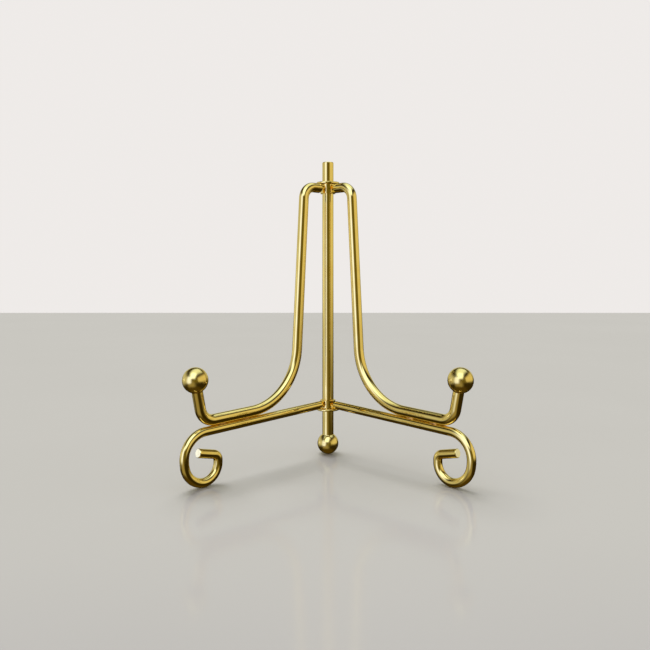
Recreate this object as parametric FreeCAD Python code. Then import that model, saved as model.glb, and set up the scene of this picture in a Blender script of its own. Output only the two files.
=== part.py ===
import FreeCAD, Part
import math
import os

# A wire display easel for a small plate: a round centre post with a ball foot, and two
# mirror-image wire wings that swing round the post on half-lapped eyes, one pair near
# the top and one pair near the bottom. Each wing is a backrest wire that runs down, out
# and up into a hook with a ball tip, brazed on top of a foot wire that ends in a scroll.
#
# Sizes are in millimetres and angles in degrees. The origin is on the table, on the axis
# of the centre post. +Z is up, and -Y is the front, where the wings stand.

# Centre post and the parts fixed to it
TOTAL_HEIGHT = 101.6
POST_RADIUS = 1.95
POST_TOP_CHAMFER = 0.2
FOOT_BALL_RADIUS = 3.65
WASHER_RADIUS = 4.0
WASHER_THICKNESS = 0.7
WASHER_EDGE_ROUND = 0.2
WASHER_PLAY = 0.05
WASHER_SEAT_DEPTH = 0.2

# Wing stance, measured forward from straight sideways
WING_ANGLE = 45.0

# Backrest wire, from the upper eye to the ball tip
BACKREST_WIRE_RADIUS = 1.65
UPPER_EYE_HEIGHT = 92.2
SHOULDER_REACH = 11.45
SHOULDER_BEND_RADIUS = 4.2
UPRIGHT_LEAN = 3.5
FLARE_BEND_RADIUS = 19.4
REST_LENGTH = 14.9
HOOK_BEND_RADIUS = 4.6
HOOK_LEAN = 11.3
HOOK_LENGTH = 8.9
TIP_BALL_RADIUS = 3.8
BALL_SOCKET_PAST_CENTRE = 1.0

# Foot wire, from the lower eye to the cut end inside the scroll
FOOT_WIRE_RADIUS = 1.36
FOOT_WIRE_FALL = 1.4
FOOT_WIRE_STRAIGHT = 51.3
SCROLL_TOP_RADIUS = 7.3
SCROLL_TOP_TURN = 94.7
SCROLL_SIDE_LENGTH = 0.75
SCROLL_HEEL_RADIUS = 6.85
SCROLL_HEEL_TURN = 75.8
SCROLL_TOE_RADIUS = 5.1
SCROLL_TOE_TURN_PAST_TABLE = 89.7
SCROLL_BACK_LENGTH = 0.65
SCROLL_CORNER_RADIUS = 2.0
SCROLL_CORNER_TURN = 76.8
SCROLL_END_LENGTH = 5.75
SCROLL_END_CHAMFER = 0.15

# Eyes: each wire end is halved in height round the post, necked to a tongue so that the
# two wires leave the front of the joint open, faced flat and pierced
EYE_RADIUS = 2.6
EYE_RUNNING_CLEARANCE = 0.06
EYE_GAP = 0.1
EYE_FACING = 0.1
EYE_FACING_RADIUS = 2.9
UPPER_LAP_RADIUS = 4.5
LOWER_LAP_RADIUS = 4.1
TONGUE_WIDTH_SHARE = 0.55

# Brazed joints between the two wires of a wing
WIRE_SEPARATION = 0.02
BRAZE_HALF_LENGTH = 1.6
BRAZE_HALF_WIDTH = 1.0
BRAZE_HALF_HEIGHT = 0.5
BRAZE_PLACES = (0.2, 0.8)

ORIGIN = FreeCAD.Vector(0, 0, 0)
UP = FreeCAD.Vector(0, 0, 1)
SIDEWAYS = FreeCAD.Vector(0, 1, 0)


def heading_vector(heading):
    """Unit vector in the wing's plane, with 0 pointing outward and 90 pointing up."""
    angle = math.radians(heading)
    return FreeCAD.Vector(math.cos(angle), 0, math.sin(angle))


def trace(start, heading, steps):
    """Follow straight and bent steps in the wing's plane.

    A step is ("straight", length) or ("bend", radius, turn), where a positive turn
    goes towards +Z. Returns the edges, the end point and the end heading.
    """
    edges = []
    point = start
    for step in steps:
        if step[0] == "straight":
            end = point + heading_vector(heading) * step[1]
            edges.append(Part.makeLine(point, end))
        else:
            radius, turn = step[1:]
            side = math.copysign(90, turn)
            centre = point + heading_vector(heading + side) * radius
            middle = centre + heading_vector(heading - side + turn / 2) * radius
            end = centre + heading_vector(heading - side + turn) * radius
            edges.append(Part.Arc(point, middle, end).toShape())
            heading += turn
        point = end
    return edges, point, heading


def round_wire(edges, radius):
    """A round wire along edges that start level at the post's axis."""
    start = edges[0].Vertexes[0].Point
    tangent = edges[0].tangentAt(edges[0].FirstParameter)
    section = Part.makeCircle(radius, start, tangent)
    section.rotate(start, tangent, 90)
    profile = Part.Face(Part.Wire([section]))
    return Part.Wire(edges).makePipe(profile)


def disc(radius, low, high):
    """An upright cylinder on the post's axis, between two heights."""
    return Part.makeCylinder(radius, high - low, FreeCAD.Vector(0, 0, low), UP)


def tongue_sides(lap_radius, half_width, low, high):
    """What is milled off beside the tongue that carries an eye, out to the full wire."""
    length = 2 * lap_radius
    corner = FreeCAD.Vector(0, -half_width, low)
    tongue = Part.makeBox(length, 2 * half_width, high - low, corner)
    return disc(lap_radius, low, high).cut([disc(EYE_RADIUS, low, high), tongue])


def halved_eye(rod, height, wire_radius, lap_radius, keeps_top):
    """Turn a wire's end at the post into an eye that fills half the wire's height."""
    top = height + wire_radius
    bottom = height - wire_radius
    margin = wire_radius
    tongue_half_width = wire_radius * TONGUE_WIDTH_SHARE
    sides = tongue_sides(lap_radius, tongue_half_width, bottom - margin, top + margin)
    faced_top = top - EYE_FACING
    faced_bottom = bottom + EYE_FACING
    bore = disc(POST_RADIUS + EYE_RUNNING_CLEARANCE, bottom - margin, top + margin)
    if keeps_top:
        lap = disc(lap_radius, bottom - margin, height + EYE_GAP / 2)
        facing = disc(EYE_FACING_RADIUS, faced_top, top + margin)
    else:
        lap = disc(lap_radius, height - EYE_GAP / 2, top + margin)
        facing = disc(EYE_FACING_RADIUS, bottom - margin, faced_bottom)
    blank = rod.fuse(disc(EYE_RADIUS, faced_bottom, faced_top))
    return blank.cut([sides, bore, lap, facing])


def chamfered_end(rod, end, size):
    """Break the edge of a wire's flat end."""
    rim = [edge for edge in rod.Edges if edge.BoundBox.Center.distanceToPoint(end) < size]
    return rod.makeChamfer(size, rim)


def scroll_steps():
    """Steps of the foot wire: from the post to the table, and from the table to its end."""
    turn_left = 180 - FOOT_WIRE_FALL - SCROLL_TOP_TURN - SCROLL_HEEL_TURN
    to_table = [
        ("straight", FOOT_WIRE_STRAIGHT),
        ("bend", SCROLL_TOP_RADIUS, -SCROLL_TOP_TURN),
        ("straight", SCROLL_SIDE_LENGTH),
        ("bend", SCROLL_HEEL_RADIUS, -SCROLL_HEEL_TURN),
        ("bend", SCROLL_TOE_RADIUS, -turn_left),
    ]
    to_end = [
        ("bend", SCROLL_TOE_RADIUS, -SCROLL_TOE_TURN_PAST_TABLE),
        ("straight", SCROLL_BACK_LENGTH),
        ("bend", SCROLL_CORNER_RADIUS, -SCROLL_CORNER_TURN),
        ("straight", SCROLL_END_LENGTH),
    ]
    return to_table, to_end


def lower_eye_height():
    """Height of the foot wire at the post that sets the scroll's underside on the table."""
    to_table, _ = scroll_steps()
    _, lowest, _ = trace(ORIGIN, -FOOT_WIRE_FALL, to_table)
    return FOOT_WIRE_RADIUS - lowest.z


def backrest_steps():
    """Steps of the backrest wire, with the upright just long enough to rest on the foot wire."""
    shoulder = [
        ("straight", SHOULDER_REACH - SHOULDER_BEND_RADIUS),
        ("bend", SHOULDER_BEND_RADIUS, UPRIGHT_LEAN - 90),
    ]
    flare = ("bend", FLARE_BEND_RADIUS, 90 - UPRIGHT_LEAN - FOOT_WIRE_FALL)
    start = FreeCAD.Vector(0, 0, UPPER_EYE_HEIGHT)
    _, without_upright, _ = trace(start, 0, shoulder + [flare])
    foot_wire_start = FreeCAD.Vector(0, 0, lower_eye_height())
    above_foot_wire = heading_vector(90 - FOOT_WIRE_FALL)
    wanted = BACKREST_WIRE_RADIUS + FOOT_WIRE_RADIUS + WIRE_SEPARATION
    too_high = (without_upright - foot_wire_start).dot(above_foot_wire) - wanted
    upright = too_high / math.cos(math.radians(UPRIGHT_LEAN + FOOT_WIRE_FALL))
    to_rest = shoulder + [("straight", upright), flare]
    to_tip = [
        ("straight", REST_LENGTH),
        ("bend", HOOK_BEND_RADIUS, 90 - HOOK_LEAN + FOOT_WIRE_FALL),
        ("straight", HOOK_LENGTH),
    ]
    return start, to_rest, to_tip


def backrest_wire(keeps_top):
    """The backrest wire, the centre of its ball tip and the ends of its resting stretch."""
    start, to_rest, to_tip = backrest_steps()
    _, rest_start, rest_heading = trace(start, 0, to_rest)
    rest_end = rest_start + heading_vector(rest_heading) * REST_LENGTH
    edges, tip_centre, heading = trace(start, 0, to_rest + to_tip)
    wire_end = tip_centre + heading_vector(heading) * BALL_SOCKET_PAST_CENTRE
    edges[-1] = Part.makeLine(edges[-1].Vertexes[0].Point, wire_end)
    rod = round_wire(edges, BACKREST_WIRE_RADIUS)
    eyed = halved_eye(rod, start.z, BACKREST_WIRE_RADIUS, UPPER_LAP_RADIUS, keeps_top)
    return eyed, tip_centre, (rest_start, rest_end)


def foot_wire(keeps_top):
    """The foot wire with its scroll."""
    to_table, to_end = scroll_steps()
    start = FreeCAD.Vector(0, 0, lower_eye_height())
    edges, end, _ = trace(start, -FOOT_WIRE_FALL, to_table + to_end)
    rod = round_wire(edges, FOOT_WIRE_RADIUS)
    rod = chamfered_end(rod, end, SCROLL_END_CHAMFER)
    return halved_eye(rod, start.z, FOOT_WIRE_RADIUS, LOWER_LAP_RADIUS, keeps_top)


def braze_beads(rest_ends):
    """Flattened beads of brazing metal in the valley between the two wires."""
    rest_start, rest_end = rest_ends
    to_valley = heading_vector(-90 - FOOT_WIRE_FALL) * (BACKREST_WIRE_RADIUS + WIRE_SEPARATION / 2)
    stretch = FreeCAD.Matrix()
    stretch.scale(BRAZE_HALF_LENGTH, BRAZE_HALF_WIDTH, BRAZE_HALF_HEIGHT)
    beads = []
    for place in BRAZE_PLACES:
        bead = Part.makeSphere(1).transformGeometry(stretch)
        bead.rotate(ORIGIN, SIDEWAYS, FOOT_WIRE_FALL)
        bead.translate(rest_start + (rest_end - rest_start) * place + to_valley)
        beads.append(bead)
    return beads


def wing(side, angle, keeps_top):
    """The nodes of one wing, turned to its stance."""
    backrest, tip_centre, rest_ends = backrest_wire(keeps_top)
    foot = foot_wire(keeps_top)
    beads = braze_beads(rest_ends)
    ball = Part.makeSphere(TIP_BALL_RADIUS, tip_centre).cut(backrest)
    nodes = {
        side + "_backrest_wire": backrest.cut(beads),
        side + "_foot_wire": foot.cut(beads),
        side + "_tip_ball": ball,
        side + "_wire_brazes": Part.makeCompound(beads),
    }
    for shape in nodes.values():
        shape.rotate(ORIGIN, UP, angle)
    return nodes


def washer(low):
    """A thin retaining washer with its underside at a height, snapped into its seat."""
    high = low + WASHER_THICKNESS
    blank = disc(WASHER_RADIUS, low, high)
    blank = blank.makeFillet(WASHER_EDGE_ROUND, [e for e in blank.Edges if e.Closed])
    return blank.cut(disc(POST_RADIUS - WASHER_SEAT_DEPTH, low - 1, high + 1))


def washer_seat(low):
    """The shallow groove in the post that a washer sits in."""
    high = low + WASHER_THICKNESS
    ring = disc(POST_RADIUS + 1, low, high)
    return ring.cut(disc(POST_RADIUS - WASHER_SEAT_DEPTH, low, high))


def centre_parts():
    """The nodes of the centre post."""
    post_bottom = FOOT_BALL_RADIUS - BALL_SOCKET_PAST_CENTRE
    post = disc(POST_RADIUS, post_bottom, TOTAL_HEIGHT)
    top_rim = [e for e in post.Edges if e.Closed and e.BoundBox.ZMin > TOTAL_HEIGHT - 1]
    post = post.makeChamfer(POST_TOP_CHAMFER, top_rim)
    upper_washer_low = UPPER_EYE_HEIGHT + BACKREST_WIRE_RADIUS + WASHER_PLAY
    fall = math.radians(FOOT_WIRE_FALL)
    wire_drop = FOOT_WIRE_RADIUS / math.cos(fall) + WASHER_RADIUS * math.tan(fall)
    lower_washer_low = lower_eye_height() - wire_drop - WASHER_PLAY - WASHER_THICKNESS
    post = post.cut([washer_seat(upper_washer_low), washer_seat(lower_washer_low)])
    ball = Part.makeSphere(FOOT_BALL_RADIUS, FreeCAD.Vector(0, 0, FOOT_BALL_RADIUS))
    return {
        "center_post": post,
        "post_foot_ball": ball.cut(post),
        "upper_retaining_washer": washer(upper_washer_low),
        "lower_retaining_washer": washer(lower_washer_low),
    }


os.makedirs("parts", exist_ok=True)
nodes = centre_parts()
nodes.update(wing("left", WING_ANGLE - 180, True))
nodes.update(wing("right", -WING_ANGLE, False))
for name, shape in nodes.items():
    shape.exportStep("parts/" + name + ".step")
    print(name, len(shape.Solids), shape.isValid(), round(shape.Volume, 3))
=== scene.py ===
import bpy
import bmesh
import math
from mathutils import Matrix, Vector


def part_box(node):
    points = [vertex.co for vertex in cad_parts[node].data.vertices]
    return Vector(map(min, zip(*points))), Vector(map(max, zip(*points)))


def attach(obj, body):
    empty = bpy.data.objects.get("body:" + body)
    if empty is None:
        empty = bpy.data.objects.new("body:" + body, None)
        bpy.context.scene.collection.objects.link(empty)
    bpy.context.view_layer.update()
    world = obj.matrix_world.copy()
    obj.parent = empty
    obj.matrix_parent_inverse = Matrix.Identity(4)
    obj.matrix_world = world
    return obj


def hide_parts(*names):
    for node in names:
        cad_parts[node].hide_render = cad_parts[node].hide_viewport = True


# A gold-plated wire display easel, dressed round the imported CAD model. Each wire is swept
# again as a finer surface along the bends that the CAD model gives it, and each turned
# part is lathed again with its small edge roundings. Shapes are made in millimetres, in
# the CAD's frame, and brought to metres when they are dressed.

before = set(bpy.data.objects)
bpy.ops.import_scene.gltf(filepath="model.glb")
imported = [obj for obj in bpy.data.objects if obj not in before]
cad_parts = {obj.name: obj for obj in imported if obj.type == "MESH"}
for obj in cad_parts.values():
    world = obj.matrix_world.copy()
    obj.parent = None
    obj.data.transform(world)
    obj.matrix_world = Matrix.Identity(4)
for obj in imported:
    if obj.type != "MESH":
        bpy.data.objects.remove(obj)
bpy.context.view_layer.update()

MM = 0.001

# Bends of the backrest wire, in millimetres and degrees, from the upper eye to the ball tip
BACKREST_RADIUS = 1.65
SHOULDER_REACH = 11.45
SHOULDER_BEND_RADIUS = 4.2
UPRIGHT_LEAN = 3.5
FLARE_BEND_RADIUS = 19.4
REST_LENGTH = 14.9
HOOK_BEND_RADIUS = 4.6
HOOK_LEAN = 11.3
HOOK_LENGTH = 8.9
SOCKET_PAST_CENTRE = 1.0
WIRE_SEPARATION = 0.02

# Bends of the foot wire, from the lower eye to the cut end inside the scroll. A pair is a
# bend's radius and how far it turns.
FOOT_RADIUS = 1.36
FOOT_FALL = 1.4
FOOT_STRAIGHT = 51.3
SCROLL_TOP = (7.3, 94.7)
SCROLL_SIDE_LENGTH = 0.75
SCROLL_HEEL = (6.85, 75.8)
SCROLL_TOE_RADIUS = 5.1
SCROLL_TOE_PAST_TABLE = 89.7
SCROLL_BACK_LENGTH = 0.65
SCROLL_CORNER = (2.0, 76.8)
SCROLL_END_LENGTH = 5.75
SCROLL_END_CHAMFER = 0.15

# Halved eyes round the post
BORE_RADIUS = 2.01
EYE_RADIUS = 2.6
EYE_FACING = 0.1
EYE_FACING_RADIUS = 2.9
EYE_GAP = 0.1
UPPER_LAP_RADIUS = 4.5
LOWER_LAP_RADIUS = 4.1
TONGUE_WIDTH_SHARE = 0.55

# Small offsets that keep cutting faces from lying on each other, and the weld after them
SHOULDER_STEP = 0.02
START_PAST_AXIS = 0.9
MERGE_DISTANCE = 0.002

# Turned parts
TIP_BALL_RADIUS = 3.8
FOOT_BALL_RADIUS = 3.65
POST_RADIUS = 1.95
POST_TOP_CHAMFER = 0.2
WASHER_SEAT_DEPTH = 0.2
WASHER_EDGE_ROUND = 0.2
SOCKET_CLEARANCE = 0.01
NECK_FILLET = 0.22

# Brazed beads between the two wires of a wing, pinched where the wires close on them
BRAZE_PLACES = (0.2, 0.8)
BRAZE_HALF_LENGTH = 1.6
BRAZE_HALF_WIDTH = 1.0
BRAZE_HALF_HEIGHT = 0.5
BRAZE_PINCH = 0.62
BRAZE_RIPPLE = 0.07
BRAZE_RIPPLES_ALONG = 5.1
BRAZE_RIPPLES_ACROSS = 4.3
BRAZE_RIPPLE_STEP = 2.3

# Fineness of the meshes
RING_POINTS = 56
LATHE_POINTS = 96
TOOL_POINTS = 128
AXIS_RING_RADIUS = 0.0001
CUT_FACE_RINGS = (0.55, 0.12)
CUT_FACE_ALIGNMENT = 0.99
POST_TOP_RING = 0.5
STRAIGHT_SPACING = 3.0
ARC_SPACING = 2.5
EDGE_ROUND_STEPS = 6
NECK_STEPS = 8
BALL_STEPS = 64
BRAZE_SUBDIVISIONS = 4
UV_LENGTH = 10.0
SHARP_ANGLE = math.radians(14)


# ---------------------------------------------------------------- centrelines

def step_point(point, heading, length):
    """The point a distance away in a wing's plane, with 0 pointing outward and 90 up."""
    angle = math.radians(heading)
    return point[0] + length * math.cos(angle), point[1] + length * math.sin(angle)


def trace(start, heading, steps):
    """Sample straight and bent steps in a wing's plane as rows of (reach, height, heading)."""
    rows = [(start[0], start[1], heading)]
    for step in steps:
        origin = rows[-1][:2]
        if step[0] == "straight":
            count = max(1, round(step[1] / STRAIGHT_SPACING))
            for i in range(1, count + 1):
                rows.append(step_point(origin, heading, step[1] * i / count) + (heading,))
        else:
            radius, turn = step[1:]
            side = math.copysign(90, turn)
            centre = step_point(origin, heading + side, radius)
            count = max(2, math.ceil(abs(turn) / ARC_SPACING))
            for i in range(1, count + 1):
                turned = heading + turn * i / count
                rows.append(step_point(centre, turned - side, radius) + (turned,))
            heading += turn
    return rows


def foot_path():
    """The foot wire's centreline, at the height that sets its scroll on the table."""
    turn_left = 180 - FOOT_FALL - SCROLL_TOP[1] - SCROLL_HEEL[1]
    to_table = [
        ("straight", FOOT_STRAIGHT),
        ("bend", SCROLL_TOP[0], -SCROLL_TOP[1]),
        ("straight", SCROLL_SIDE_LENGTH),
        ("bend", SCROLL_HEEL[0], -SCROLL_HEEL[1]),
        ("bend", SCROLL_TOE_RADIUS, -turn_left),
    ]
    to_end = [
        ("bend", SCROLL_TOE_RADIUS, -SCROLL_TOE_PAST_TABLE),
        ("straight", SCROLL_BACK_LENGTH),
        ("bend", SCROLL_CORNER[0], -SCROLL_CORNER[1]),
        ("straight", SCROLL_END_LENGTH),
    ]
    lowest = trace((0, 0), -FOOT_FALL, to_table)[-1][1]
    return trace((0, FOOT_RADIUS - lowest), -FOOT_FALL, to_table + to_end)


def backrest_path(eye_height, foot_eye_height):
    """The backrest wire's centreline and the two ends of the stretch that lies on the foot wire."""
    start = (0, eye_height)
    shoulder = [
        ("straight", SHOULDER_REACH - SHOULDER_BEND_RADIUS),
        ("bend", SHOULDER_BEND_RADIUS, UPRIGHT_LEAN - 90),
    ]
    flare = ("bend", FLARE_BEND_RADIUS, 90 - UPRIGHT_LEAN - FOOT_FALL)
    short = trace(start, 0, shoulder + [flare])[-1]
    fall = math.radians(FOOT_FALL)
    above = short[0] * math.sin(fall) + (short[1] - foot_eye_height) * math.cos(fall)
    spare = above - (BACKREST_RADIUS + FOOT_RADIUS + WIRE_SEPARATION)
    upright = spare / math.cos(math.radians(UPRIGHT_LEAN + FOOT_FALL))
    to_rest = shoulder + [("straight", upright), flare]
    to_tip = [
        ("straight", REST_LENGTH),
        ("bend", HOOK_BEND_RADIUS, 90 - HOOK_LEAN + FOOT_FALL),
        ("straight", HOOK_LENGTH + SOCKET_PAST_CENTRE),
    ]
    rest_start = trace(start, 0, to_rest)[-1]
    rest_end = trace(rest_start[:2], rest_start[2], to_tip[:1])[-1]
    return trace(start, 0, to_rest + to_tip), (rest_start, rest_end)


# ---------------------------------------------------------------- meshes

def add_rings(bm, uv_layer, rings, lengths):
    """Join rings of vertices with quads. The UV map runs round the wire in U and along it in V."""
    count = len(rings[0])
    for i in range(len(rings) - 1):
        for k in range(count):
            after = (k + 1) % count
            face = bm.faces.new((rings[i][k], rings[i][after], rings[i + 1][after], rings[i + 1][k]))
            corners = ((k, i), (k + 1, i), (k + 1, i + 1), (k, i + 1))
            for loop, (around, along) in zip(face.loops, corners):
                loop[uv_layer].uv = (around / count, lengths[along] / UV_LENGTH)


def cap(bm, ring):
    """Close a ring of vertices with a fan."""
    middle = sum((v.co for v in ring), Vector()) / len(ring)
    centre = bm.verts.new(middle)
    for k in range(len(ring)):
        bm.faces.new((ring[k], ring[(k + 1) % len(ring)], centre))


def finish_mesh(bm, name, turn=0.0):
    """Turn a bmesh into an object, swung round the post's axis and still in millimetres."""
    bmesh.ops.recalc_face_normals(bm, faces=bm.faces)
    bm.transform(Matrix.Rotation(turn, 4, "Z"))
    mesh = bpy.data.meshes.new(name)
    bm.to_mesh(mesh)
    bm.free()
    piece = bpy.data.objects.new(name, mesh)
    bpy.context.scene.collection.objects.link(piece)
    return piece


def smooth(piece):
    """Smooth shading that keeps real edges crisp."""
    mesh = piece.data
    mesh.polygons.foreach_set("use_smooth", [True] * len(mesh.polygons))
    mesh.set_sharp_from_angle(angle=SHARP_ANGLE)


def wire(name, path, radius, turn, chamfer=0.0):
    """A round wire swept along a centreline in a wing's plane, from just past the post's axis."""
    bm = bmesh.new()
    uv_layer = bm.loops.layers.uv.new("wire")
    rows = [row + (radius,) for row in path]
    rows[0] = step_point(path[0][:2], path[0][2], -START_PAST_AXIS) + rows[0][2:]
    if chamfer:
        reach, height, heading = path[-1]
        back = step_point((reach, height), heading, -chamfer)
        rows[-1:] = [back + (heading, radius), (reach, height, heading, radius - chamfer)]
        inner = radius - chamfer
        for share in CUT_FACE_RINGS:
            rows.append((reach, height, heading, inner * share))
    lengths = [0.0]
    for before, after in zip(rows, rows[1:]):
        lengths.append(lengths[-1] + math.dist(before[:2], after[:2]))
    rings = []
    for reach, height, heading, size in rows:
        angle = math.radians(heading)
        outward = Vector((-math.sin(angle), 0, math.cos(angle)))
        ring = []
        for k in range(RING_POINTS):
            a = 2 * math.pi * k / RING_POINTS
            offset = outward * math.cos(a) + Vector((0, 1, 0)) * math.sin(a)
            ring.append(bm.verts.new(Vector((reach, 0, height)) + offset * size))
        rings.append(ring)
    add_rings(bm, uv_layer, rings, lengths)
    cap(bm, rings[0])
    cap(bm, rings[-1])
    return finish_mesh(bm, name, turn)


def lathe(name, profile, place=Matrix.Identity(4), turn=0.0, points=LATHE_POINTS):
    """Revolve a profile of (radius, height) rows round the Z axis, then place it."""
    bm = bmesh.new()
    uv_layer = bm.loops.layers.uv.new("wire")
    lengths = [0.0]
    for before, after in zip(profile, profile[1:]):
        lengths.append(lengths[-1] + math.dist(before, after))
    closed = profile[0] == profile[-1]
    rings = []
    for radius, height in profile[:-1] if closed else profile:
        size = max(radius, AXIS_RING_RADIUS)
        angles = [2 * math.pi * k / points for k in range(points)]
        rings.append([bm.verts.new((size * math.cos(a), size * math.sin(a), height)) for a in angles])
    if closed:
        rings.append(rings[0])
    add_rings(bm, uv_layer, rings, lengths)
    if not closed:
        cap(bm, rings[0])
        cap(bm, rings[-1])
    bm.transform(place)
    return finish_mesh(bm, name, turn)


def arc(centre, radius, first, last, count):
    """Rows of (radius, height) along an arc, for a lathe profile."""
    rows = []
    for i in range(count + 1):
        a = math.radians(first + (last - first) * i / count)
        rows.append((centre[0] + radius * math.cos(a), centre[1] + radius * math.sin(a)))
    return rows


def disc(radius, low, high):
    """A tool round the post's axis, turned by its radius so that no two share an edge line."""
    return lathe("tool", [(radius, low), (radius, high)], turn=radius, points=TOOL_POINTS)


def combine(piece, tool, operation):
    """Join a tool to a piece or cut it away, and apply the result."""
    modifier = piece.modifiers.new("tool", "BOOLEAN")
    modifier.solver = "EXACT"
    modifier.operation = operation
    modifier.object = tool
    bpy.context.view_layer.update()
    evaluated = piece.evaluated_get(bpy.context.evaluated_depsgraph_get())
    result = bpy.data.meshes.new_from_object(evaluated)
    piece.modifiers.clear()
    piece.data = result
    bpy.data.objects.remove(tool)


def tongue_sides(lap_radius, half_width, low, high, turn):
    """A cutting disc with a slot across it, which leaves a tongue of the wire standing."""
    bm = bmesh.new()
    slot_size = (4 * lap_radius, 2 * half_width, 2 * (high - low))
    slot_place = Matrix.LocRotScale(Vector((0, 0, (low + high) / 2)), None, Vector(slot_size))
    bmesh.ops.create_cube(bm, size=1.0, matrix=slot_place)
    sides = disc(lap_radius - SHOULDER_STEP, low, high)
    combine(sides, finish_mesh(bm, "slot", turn), "DIFFERENCE")
    return sides


def halve_eye(piece, height, radius, lap_radius, keeps_top, turn):
    """Turn a wire's end at the post into a tongue and a faced, pierced eye of half its height."""
    top, bottom = height + radius, height - radius
    half_width = radius * TONGUE_WIDTH_SHARE
    sides = tongue_sides(lap_radius, half_width, bottom - radius, top + radius, turn)
    combine(piece, sides, "DIFFERENCE")
    combine(piece, disc(EYE_RADIUS, bottom - radius / 2, top + radius / 2), "UNION")
    if keeps_top:
        combine(piece, disc(lap_radius, bottom - radius, height + EYE_GAP / 2), "DIFFERENCE")
        combine(piece, disc(EYE_FACING_RADIUS, top - EYE_FACING, top + radius), "DIFFERENCE")
    else:
        combine(piece, disc(lap_radius, height - EYE_GAP / 2, top + radius), "DIFFERENCE")
        combine(piece, disc(EYE_FACING_RADIUS, bottom - radius, bottom + EYE_FACING), "DIFFERENCE")
    combine(piece, disc(BORE_RADIUS, bottom - radius, top + radius), "DIFFERENCE")
    bm = bmesh.new()
    bm.from_mesh(piece.data)
    bmesh.ops.remove_doubles(bm, verts=bm.verts, dist=MERGE_DISTANCE)
    bmesh.ops.dissolve_degenerate(bm, dist=MERGE_DISTANCE, edges=bm.edges)
    bm.to_mesh(piece.data)
    bm.free()


def ball(name, radius, neck_radius, depth_past_centre, place, turn=0.0):
    """A ball with a blind socket, plated over at the neck of the wire that enters along +Z."""
    bore = neck_radius + SOCKET_CLEARANCE
    reach = math.sqrt((radius + NECK_FILLET) ** 2 - (bore + NECK_FILLET) ** 2)
    neck = (bore + NECK_FILLET, -reach)
    touch = math.degrees(math.atan2(reach, bore + NECK_FILLET))
    profile = [(0, depth_past_centre), (bore, depth_past_centre)]
    profile += arc(neck, NECK_FILLET, 180, 180 - touch, NECK_STEPS)
    profile += arc((0, 0), radius, -touch, 90, BALL_STEPS)[1:]
    return lathe(name, profile, place, turn)


def braze(name, centres, slope, turn):
    """Beads of brazing metal that have flowed into the valley between two wires."""
    bm = bmesh.new()
    for seed, centre in enumerate(centres):
        made = bmesh.ops.create_icosphere(bm, subdivisions=BRAZE_SUBDIVISIONS, radius=1.0)
        for vert in made["verts"]:
            ripple = math.sin(BRAZE_RIPPLES_ALONG * vert.co.x + BRAZE_RIPPLE_STEP * seed)
            ripple *= math.cos(BRAZE_RIPPLES_ACROSS * vert.co.y)
            flow = 1 + BRAZE_RIPPLE * ripple
            pinch = BRAZE_PINCH + (1 - BRAZE_PINCH) * vert.co.y * vert.co.y
            vert.co = Vector((
                vert.co.x * BRAZE_HALF_LENGTH * flow,
                vert.co.y * BRAZE_HALF_WIDTH,
                vert.co.z * BRAZE_HALF_HEIGHT * pinch * flow,
            ))
        place = Matrix.Translation(centre) @ Matrix.Rotation(slope, 4, "Y")
        bmesh.ops.transform(bm, matrix=place, verts=made["verts"])
    return finish_mesh(bm, name, turn)


# ---------------------------------------------------------------- materials

# Each metal's colour, the warmer colour that it drifts to, its roughness, and the
# strength of its draw lines and of its orange peel
PLATE_COLOUR = (0.96, 0.76, 0.30)
PLATE_WARM_COLOUR = (0.93, 0.71, 0.25)
WIRE_GOLD = (PLATE_COLOUR, PLATE_WARM_COLOUR, 0.055, 0.02, 0.02)
BALL_GOLD = (PLATE_COLOUR, PLATE_WARM_COLOUR, 0.19, 0.0, 0.04)
CUT_FACE = ((0.98, 0.95, 0.86), (0.96, 0.91, 0.78), 0.1, 0.02, 0.1)
BRAZE_BRASS = ((0.78, 0.50, 0.20), (0.62, 0.34, 0.12), 0.36, 0.2, 0.8)

# The noise that every metal shares: its scale, and the spread of values that is used
DRIFT_SCALE = 190.0
DRIFT_SPREAD = (0.35, 0.65)
CLOUD_SCALE = 620.0
CLOUD_GRAIN = 0.6
CLOUD_SPREAD = (0.3, 0.7)
CLOUD_ROUGHNESS = (0.82, 1.2)
LINE_STRETCH = (34.0, 0.2, 1.0)
LINE_SPREAD = (0.35, 0.7)
LINE_ROUGHNESS = 0.03
PEEL_SCALE = 900.0
FINE_DETAIL = 3.0
BUMP_DEPTH = 0.00002


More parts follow.
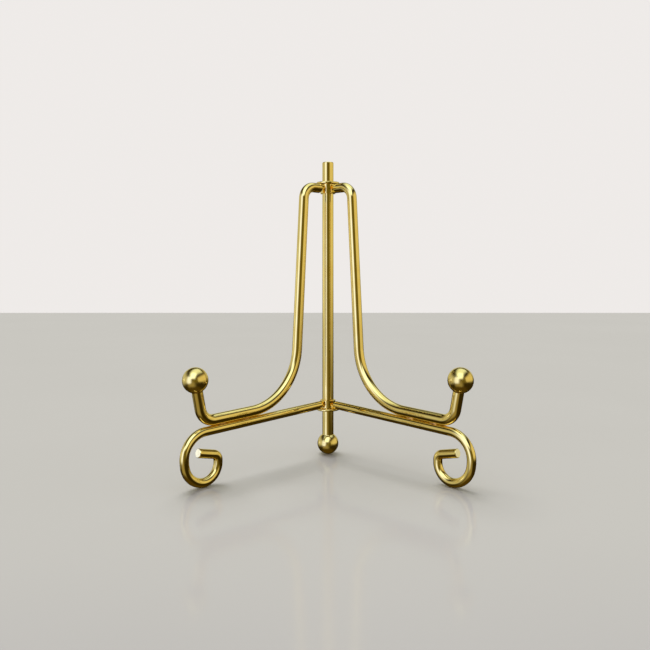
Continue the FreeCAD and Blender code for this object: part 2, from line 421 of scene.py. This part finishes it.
class Nodes:
    """A short way to write node trees: each call adds a node and returns an output."""

    def __init__(self, tree):
        self.tree = tree
        tree.nodes.clear()

    def add(self, kind, output=0, inputs=None, **settings):
        node = self.tree.nodes.new(kind)
        for key, value in settings.items():
            setattr(node, key, value)
        for key, value in (inputs or {}).items():
            if isinstance(value, bpy.types.NodeSocket):
                self.tree.links.new(value, node.inputs[key])
            else:
                node.inputs[key].default_value = value
        return node.outputs[output] if node.outputs else None

    def maths(self, operation, first, second=0.0):
        return self.add("ShaderNodeMath", inputs={0: first, 1: second}, operation=operation)

    def noise(self, vector, scale, detail=2.0, roughness=0.5):
        inputs = {"Vector": vector, "Scale": scale, "Detail": detail, "Roughness": roughness}
        return self.add("ShaderNodeTexNoise", inputs=inputs)

    def remap(self, value, low, high, to_low=0.0, to_high=1.0):
        inputs = {"Value": value, "From Min": low, "From Max": high, "To Min": to_low, "To Max": to_high}
        return self.add("ShaderNodeMapRange", inputs=inputs, interpolation_type="SMOOTHSTEP")

    def mix_colour(self, share, first, second):
        inputs = {0: share, 6: first, 7: second}
        return self.add("ShaderNodeMix", output=2, inputs=inputs, data_type="RGBA")

    def stretched(self, vector, scale):
        return self.add("ShaderNodeMapping", inputs={"Vector": vector, "Scale": scale})

    def light_path(self, kind):
        return self.add("ShaderNodeLightPath", output=kind)

    def mix_shader(self, share, first, second):
        return self.add("ShaderNodeMixShader", inputs={0: share, 1: first, 2: second})

    def bump(self, height, strength, normal=None):
        inputs = {"Height": height, "Strength": strength, "Distance": BUMP_DEPTH}
        if normal:
            inputs["Normal"] = normal
        return self.add("ShaderNodeBump", inputs=inputs)


def metal(name, colour, warm_colour, roughness, grain, pitting):
    """Plated metal: slow colour drift, fine draw lines along the wire and a faint orange peel."""
    material = bpy.data.materials.new(name)
    material.use_nodes = True
    n = Nodes(material.node_tree)
    place = n.add("ShaderNodeTexCoord", output="Object")
    wrap = n.add("ShaderNodeUVMap", uv_map="wire")
    drift = n.noise(place, DRIFT_SCALE, FINE_DETAIL)
    lines = n.noise(n.stretched(wrap, LINE_STRETCH), 1.0)
    peel = n.noise(place, PEEL_SCALE)
    cloud = n.noise(place, CLOUD_SCALE, FINE_DETAIL, CLOUD_GRAIN)
    tint = n.mix_colour(n.remap(drift, *DRIFT_SPREAD), colour + (1.0,), warm_colour + (1.0,))
    smoothest, roughest = (roughness * share for share in CLOUD_ROUGHNESS)
    rough = n.maths(
        "ADD",
        n.remap(cloud, *CLOUD_SPREAD, smoothest, roughest),
        n.remap(lines, *LINE_SPREAD, 0.0, LINE_ROUGHNESS),
    )
    lined = n.bump(lines, grain)
    pitted = n.bump(peel, pitting, lined)
    shader = n.add("ShaderNodeBsdfPrincipled", inputs={
        "Base Color": tint, "Metallic": 1.0, "Roughness": rough, "Normal": pitted})
    n.add("ShaderNodeOutputMaterial", inputs={"Surface": shader})
    return material


gold = metal("gold_plate", *WIRE_GOLD)
ball_gold = metal("ball_gold", *BALL_GOLD)
cut_metal = metal("cut_face", *CUT_FACE)
brass = metal("braze_brass", *BRAZE_BRASS)


# ---------------------------------------------------------------- the easel

def dress(piece, material, body, node):
    """Bring a piece to metres, give it its material and body, and hide its CAD node."""
    piece.data.transform(Matrix.Scale(MM, 4))
    smooth(piece)
    piece.data.materials.clear()
    piece.data.materials.append(material)
    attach(piece, body)
    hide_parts(node)


def show_cut_face(piece, end, turn):
    """Give the flat sawn end of a foot wire its paler, rougher finish."""
    reach, height, heading = end
    swing = Matrix.Rotation(turn, 3, "Z")
    face = swing @ Vector((reach, 0, height)) * MM
    angle = math.radians(heading)
    normal = swing @ Vector((math.cos(angle), 0, math.sin(angle)))
    piece.data.materials.append(cut_metal)
    for polygon in piece.data.polygons:
        close = (polygon.center - face).length < FOOT_RADIUS * MM
        if close and polygon.normal.dot(normal) > CUT_FACE_ALIGNMENT:
            polygon.material_index = 1


def box_mm(node):
    """A CAD node's lowest and highest corners, in millimetres."""
    low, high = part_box(node)
    return low / MM, high / MM


foot = foot_path()
foot_eye_height = foot[0][1]
upper_eye_height = box_mm("left_backrest_wire")[1].z - BACKREST_RADIUS
backrest, rest_ends = backrest_path(upper_eye_height, foot_eye_height)


def backrest_wire(side, keeps_top, turn):
    """Dress the wire that leans back from the upper eye and ends in the hook."""
    piece = wire(side + "_backrest", backrest, BACKREST_RADIUS, turn)
    halve_eye(piece, upper_eye_height, BACKREST_RADIUS, UPPER_LAP_RADIUS, keeps_top, turn)
    dress(piece, gold, side + "_wing", side + "_backrest_wire")


def foot_wire(side, keeps_top, turn):
    """Dress the wire that runs out from the lower eye and ends in the scroll."""
    piece = wire(side + "_foot", foot, FOOT_RADIUS, turn, SCROLL_END_CHAMFER)
    halve_eye(piece, foot_eye_height, FOOT_RADIUS, LOWER_LAP_RADIUS, keeps_top, turn)
    dress(piece, gold, side + "_wing", side + "_foot_wire")
    show_cut_face(piece, foot[-1], turn)


def tip_ball(side, turn):
    """Dress the ball on the end of the hook."""
    reach, height, heading = backrest[-1]
    centre = step_point((reach, height), heading, -SOCKET_PAST_CENTRE)
    tilt = Matrix.Rotation(math.radians(90 - heading), 4, "Y")
    place = Matrix.Translation((centre[0], 0, centre[1])) @ tilt
    piece = ball(side + "_tip", TIP_BALL_RADIUS, BACKREST_RADIUS, SOCKET_PAST_CENTRE, place, turn)
    dress(piece, ball_gold, side + "_wing", side + "_tip_ball")


def wire_brazes(side, turn):
    """Dress the brazed beads in the valley where the two wires of a wing touch."""
    start, end = Vector(rest_ends[0][:2]), Vector(rest_ends[1][:2])
    down = math.radians(-90 - FOOT_FALL)
    valley = Vector((math.cos(down), math.sin(down))) * (BACKREST_RADIUS + WIRE_SEPARATION / 2)
    spots = [start.lerp(end, share) + valley for share in BRAZE_PLACES]
    centres = [Vector((spot.x, 0, spot.y)) for spot in spots]
    piece = braze(side + "_brazes", centres, math.radians(FOOT_FALL), turn)
    dress(piece, brass, side + "_wing", side + "_wire_brazes")


def wing(side, keeps_top):
    """Dress one wing, turned about the post to where the CAD model has its tip ball."""
    low, high = box_mm(side + "_tip_ball")
    turn = math.atan2(low.y + high.y, low.x + high.x)
    backrest_wire(side, keeps_top, turn)
    foot_wire(side, keeps_top, turn)
    tip_ball(side, turn)
    wire_brazes(side, turn)


def washer_profile(low, high, outer):
    """A flat ring with rounded edges, seated in the post's groove."""
    r = WASHER_EDGE_ROUND
    inner = POST_RADIUS - WASHER_SEAT_DEPTH
    profile = [(inner, low)]
    profile += arc((outer - r, low + r), r, -90, 0, EDGE_ROUND_STEPS)
    profile += arc((outer - r, high - r), r, 0, 90, EDGE_ROUND_STEPS)
    profile += [(inner, high), (inner, low)]
    return profile


def washer(name):
    """Dress one retaining washer at the height that the CAD model gives it."""
    low, high = box_mm(name)
    piece = lathe(name.replace("_retaining", ""), washer_profile(low.z, high.z, high.x))
    dress(piece, gold, "post", name)
    return low.z, high.z


def post(seats):
    """Dress the centre post, grooved where the washers sit and chamfered at the top."""
    low, high = box_mm("center_post")
    groove = POST_RADIUS - WASHER_SEAT_DEPTH
    profile = [(0, low.z), (POST_RADIUS, low.z)]
    for bottom, top in seats:
        profile += [(POST_RADIUS, bottom), (groove, bottom), (groove, top), (POST_RADIUS, top)]
    profile += [(POST_RADIUS, high.z - POST_TOP_CHAMFER), (POST_RADIUS - POST_TOP_CHAMFER, high.z)]
    profile += [(POST_RADIUS * POST_TOP_RING, high.z), (0, high.z)]
    dress(lathe("post", profile), gold, "post", "center_post")


wing("left", True)
wing("right", False)
post(sorted([washer("lower_retaining_washer"), washer("upper_retaining_washer")]))
foot_place = Matrix.Translation((0, 0, FOOT_BALL_RADIUS)) @ Matrix.Rotation(math.pi, 4, "X")
foot_ball = ball("post_foot", FOOT_BALL_RADIUS, POST_RADIUS, SOCKET_PAST_CENTRE, foot_place)
dress(foot_ball, ball_gold, "post", "post_foot_ball")


# ---------------------------------------------------------------- stage, light and camera

# Soft panels round the easel, in the order they are laid. Each has its bearing in degrees,
# 0 towards the camera and 90 to the right, its height in degrees, then its half width,
# half height and edge softness at unit distance, and its colour.
FRONT_OF_ROOM = (10, 12, 1.2, 0.45, 0.3, (0.14, 0.11, 0.01))
BACK_WALL = (180, 12, 1.1, 0.28, 0.15, (0.56, 0.56, 0.36))
LEFT_WALL = (-100, 5, 0.8, 0.45, 0.3, (0.56, 0.56, 0.44))
RIGHT_WALL = (80, 15, 0.95, 0.40, 0.2, (0.74, 0.66, 0.36))
TABLE_FRONT = (-26, -30, 0.6, 0.5, 0.4, (0.32, 0.27, 0.12))
TABLE_BELOW = (0, -88, 0.7, 0.7, 0.3, (0.07, 0.045, 0.005))
CEILING = (-30, 88, 0.5, 1.0, 0.3, (0.95, 1.10, 1.05))
LEFT_LAMP = (-102, 1, 0.06, 0.08, 0.04, (1.7, 1.7, 1.6))
WINDOW = (-45, 8, 0.36, 0.5, 0.2, (1.15, 1.30, 1.90))
SOFT_BOX = (-14, 50, 0.40, 0.50, 0.2, (1.50, 1.75, 2.00))
PANELS = (FRONT_OF_ROOM, BACK_WALL, LEFT_WALL, RIGHT_WALL, TABLE_FRONT, TABLE_BELOW, CEILING,
          LEFT_LAMP, WINDOW, SOFT_BOX)
ROOM_COLOUR = (0.03, 0.02, 0.001, 1.0)

# A panel fades out as it turns side on, and never reaches past it
LEAST_FACING = 0.02
PANEL_FADE = (0.03, 0.1)

# The wall that the camera sees and the light that falls on matt surfaces
WALL_COLOUR = (0.86, 0.83, 0.81, 1.0)
FILL_COLOUR = (1.0, 0.99, 0.97, 1.0)
FILL_STRENGTH = 0.6
KEY_PLACE = (-0.3, 0.5, 1.5)
KEY_STRENGTH = 1.9
KEY_SOFTNESS = math.radians(40)

# The table top
FLOOR_COLOUR = (0.52, 0.51, 0.50, 1.0)
FLOOR_CLOUD_COLOUR = (0.6, 0.59, 0.58, 1.0)
FLOOR_CLOUD_SCALE = 9.0
FLOOR_CLOUD_SHARE = 0.1
FLOOR_GLOSS = 0.14
FLOOR_GLOSS_ROUGHNESS = 0.13
FLOOR_BACK = 0.8
FLOOR_REACH = 1.4
FLOOR_SQUARENESS = 5.0
FLOOR_EDGE_ROUND = 0.004
FLOOR_EDGE_SLOPES = range(0, 91, 15)
FLOOR_POINTS = 192

CAMERA_PLACE = (0.0, -0.2334, 0.0635)
CAMERA_LENS = 37.02
CAMERA_SHIFT = (-0.0045, -0.0822)
CAMERA_SENSOR = 36.0
CAMERA_CLIP_START = 0.005


def add_panel(n, ray, behind, bearing, height, half_width, half_height, softness, colour):
    """Lay a soft-edged rectangular panel, seen from the easel, over what is behind it."""
    aim = Matrix.Rotation(math.radians(bearing), 3, "Z") @ Matrix.Rotation(math.radians(-height), 3, "X")
    across, towards, upward = (aim @ Vector(v) for v in ((1, 0, 0), (0, -1, 0), (0, 0, 1)))

    def along(axis):
        return n.add("ShaderNodeVectorMath", output="Value", operation="DOT_PRODUCT",
                     inputs={0: ray, 1: axis})

    facing = n.maths("MAXIMUM", along(towards), LEAST_FACING)
    share = n.remap(facing, *PANEL_FADE)
    for axis, half in ((across, half_width), (upward, half_height)):
        offset = n.maths("ABSOLUTE", n.maths("DIVIDE", along(axis), facing))
        share = n.maths("MULTIPLY", share, n.remap(offset, half - softness, half + softness, 1.0, 0.0))
    return n.mix_colour(share, behind, colour + (1.0,))


def studio_world():
    """A pale wall to the camera, and a room of soft panels to the polished metal."""
    world = bpy.data.worlds.new("studio")
    bpy.context.scene.world = world
    world.use_nodes = True
    n = Nodes(world.node_tree)
    ray = n.add("ShaderNodeTexCoord", output="Generated")
    room = ROOM_COLOUR
    for panel in PANELS:
        room = add_panel(n, ray, room, *panel)
    panels = n.add("ShaderNodeBackground", inputs={"Color": room, "Strength": 1.0})
    wall = n.add("ShaderNodeBackground", inputs={"Color": WALL_COLOUR, "Strength": 1.0})
    fill = n.add("ShaderNodeBackground", inputs={"Color": FILL_COLOUR, "Strength": FILL_STRENGTH})
    seen = n.mix_shader(n.light_path("Is Glossy Ray"), fill, panels)
    seen = n.mix_shader(n.light_path("Is Camera Ray"), seen, wall)
    n.add("ShaderNodeOutputWorld", inputs={"Surface": seen})


def floor_material():
    """A faintly clouded, part matt and part soft finish that the metal does not mirror."""
    material = bpy.data.materials.new("floor")
    material.use_nodes = True
    n = Nodes(material.node_tree)
    place = n.add("ShaderNodeTexCoord", output="Object")
    cloud = n.noise(place, FLOOR_CLOUD_SCALE, FINE_DETAIL)
    cloud = n.remap(cloud, *CLOUD_SPREAD, 0.0, FLOOR_CLOUD_SHARE)
    pale = n.mix_colour(cloud, FLOOR_COLOUR, FLOOR_CLOUD_COLOUR)
    matt = n.add("ShaderNodeBsdfDiffuse", inputs={"Color": pale})
    gloss = n.add("ShaderNodeBsdfAnisotropic", inputs={"Roughness": FLOOR_GLOSS_ROUGHNESS})
    seen = n.mix_shader(FLOOR_GLOSS, matt, gloss)
    clear = n.add("ShaderNodeBsdfTransparent")
    shader = n.mix_shader(n.light_path("Is Glossy Ray"), seen, clear)
    n.add("ShaderNodeOutputMaterial", inputs={"Surface": shader})
    return material


def table_edge(angle, inset, drop):
    """A point of the table's outline, which lies between a square and a circle."""
    reach = FLOOR_REACH - inset
    along, across = (
        math.copysign(abs(share) ** (2 / FLOOR_SQUARENESS), share)
        for share in (math.cos(angle), math.sin(angle))
    )
    return reach * along, FLOOR_BACK - FLOOR_REACH + reach * across, -drop


def floor():
    """A plain pale table top, nearly square, with round corners and a softly rounded edge."""
    bm = bmesh.new()
    middle = bm.verts.new((0, FLOOR_BACK - FLOOR_REACH, 0))
    rings = []
    for slope in FLOOR_EDGE_SLOPES:
        inset = FLOOR_EDGE_ROUND * (1 - math.sin(math.radians(slope)))
        drop = FLOOR_EDGE_ROUND * (1 - math.cos(math.radians(slope)))
        rings.append([bm.verts.new(table_edge(2 * math.pi * k / FLOOR_POINTS, inset, drop))
                      for k in range(FLOOR_POINTS)])
    for k in range(FLOOR_POINTS):
        after = (k + 1) % FLOOR_POINTS
        bm.faces.new((middle, rings[0][k], rings[0][after]))
        for inner, outer in zip(rings, rings[1:]):
            bm.faces.new((inner[k], outer[k], outer[after], inner[after]))
    mesh = bpy.data.meshes.new("floor")
    bm.to_mesh(mesh)
    bm.free()
    piece = bpy.data.objects.new("floor", mesh)
    bpy.context.scene.collection.objects.link(piece)
    mesh.materials.append(floor_material())


def key_light():
    """A wide soft lamp from behind and above, for shadows that fall towards the camera."""
    light = bpy.data.lights.new("key", "SUN")
    light.energy = KEY_STRENGTH
    light.angle = KEY_SOFTNESS
    light.color = FILL_COLOUR[:3]
    lamp = bpy.data.objects.new("key", light)
    lamp.rotation_euler = Vector(KEY_PLACE).to_track_quat("Z", "Y").to_euler()
    lamp.visible_glossy = False
    bpy.context.scene.collection.objects.link(lamp)


def camera():
    """A level camera in front of the easel, with the frame shifted rather than tilted."""
    data = bpy.data.cameras.new("camera")
    data.lens = CAMERA_LENS
    data.sensor_width = CAMERA_SENSOR
    data.shift_x, data.shift_y = CAMERA_SHIFT
    data.clip_start = CAMERA_CLIP_START
    thing = bpy.data.objects.new("camera", data)
    thing.location = CAMERA_PLACE
    thing.rotation_euler = (math.radians(90), 0, 0)
    bpy.context.scene.collection.objects.link(thing)
    bpy.context.scene.camera = thing


studio_world()
floor()
key_light()
camera()
bpy.context.scene.view_settings.view_transform = "Standard"
